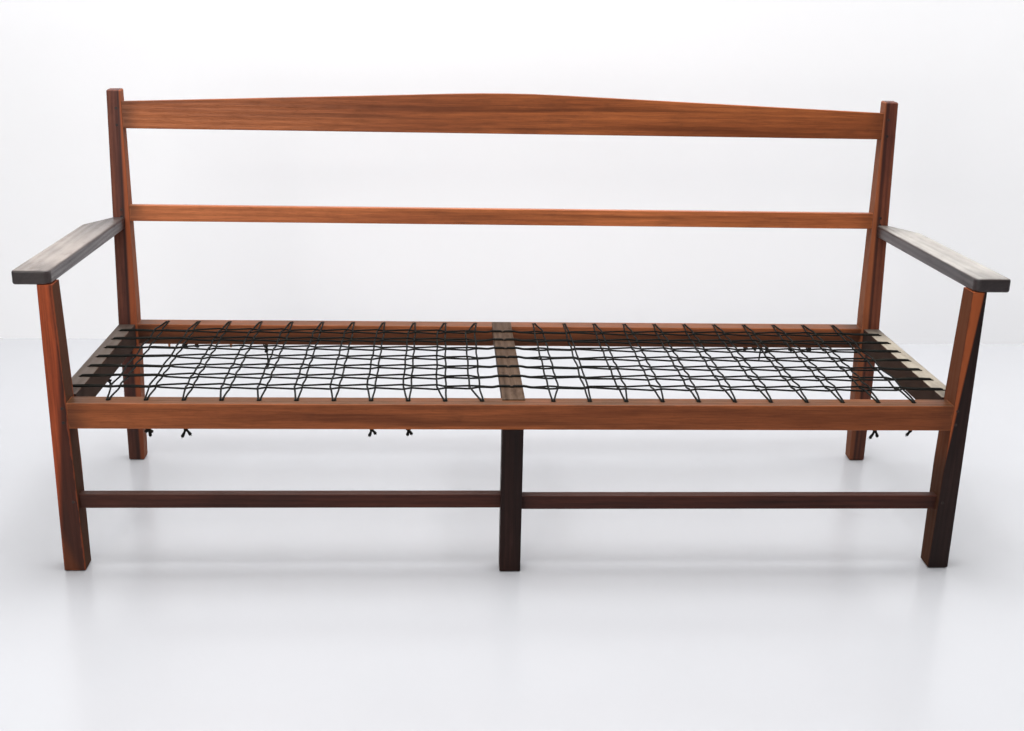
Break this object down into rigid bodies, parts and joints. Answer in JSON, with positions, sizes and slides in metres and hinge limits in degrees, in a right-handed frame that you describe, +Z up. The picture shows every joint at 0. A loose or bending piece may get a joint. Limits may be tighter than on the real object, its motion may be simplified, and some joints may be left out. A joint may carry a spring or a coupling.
{
  "type": "daybed",
  "caption": "Pegged hardwood daybed with a raked gabled back, flat arms and a seat of black cord laced through drilled rails and a centre board.",
  "frame": {"origin": "on the floor, under the middle of the daybed's outer box", "axes": "+X along the daybed, -Y towards its front, +Z up"},
  "size_m": [1.994, 0.6977, 0.9275],
  "materials": {
    "wood_rail": "oiled hardwood, orange brown with darker streaks, satin",
    "wood_crest": "oiled hardwood, orange brown with dark figure, satin",
    "wood_leg": "oiled hardwood, dark red brown, worn edges, satin",
    "wood_post": "oiled hardwood, two-tone purple brown and orange, satin",
    "wood_stretcher": "oiled hardwood, dark red brown, dull",
    "wood_arm": "oiled hardwood, purple brown with a pale worn top",
    "wood_side_rail": "hardwood with a worn greyish top and dark sides",
    "wood_board": "bare worn hardwood, pale pinkish taupe, dry",
    "wood_peg": "dark dowel end grain",
    "wood_plug": "fresh split softwood plug",
    "cord": "braided black cord, matt"
  },
  "bodies": {
    "root": {"front_leg_left": "wood_leg", "front_leg_right": "wood_leg", "rear_post_left": "wood_post", "rear_post_right": "wood_post", "middle_leg": "wood_leg", "front_seat_rail": "wood_rail", "rear_seat_rail": "wood_rail", "side_rail_left": "wood_side_rail", "side_rail_right": "wood_side_rail", "centre_board": "wood_board", "front_stretcher_left": "wood_stretcher", "front_stretcher_right": "wood_stretcher", "armrest_left": "wood_arm", "armrest_right": "wood_arm", "crest_rail": "wood_crest", "back_rail": "wood_crest", "front_rail_pegs": "wood_peg", "stretcher_pegs": "wood_peg", "side_rail_pegs": "wood_peg", "rear_rail_pegs": "wood_peg", "crest_rail_pegs": "wood_peg", "back_rail_pegs": "wood_peg", "cross_cord_left_first": "cord", "cross_cord_left_second": "cord", "cross_cord_right_first": "cord", "cross_cord_right_second": "cord", "long_cord_left_first": "cord", "long_cord_left_second": "cord", "long_cord_right_first": "cord", "long_cord_right_second": "cord", "cord_knots": "cord", "lacing_tail_left": "cord", "lacing_tail_right": "cord", "cord_plugs": "wood_plug"}
  },
  "joints": []
}
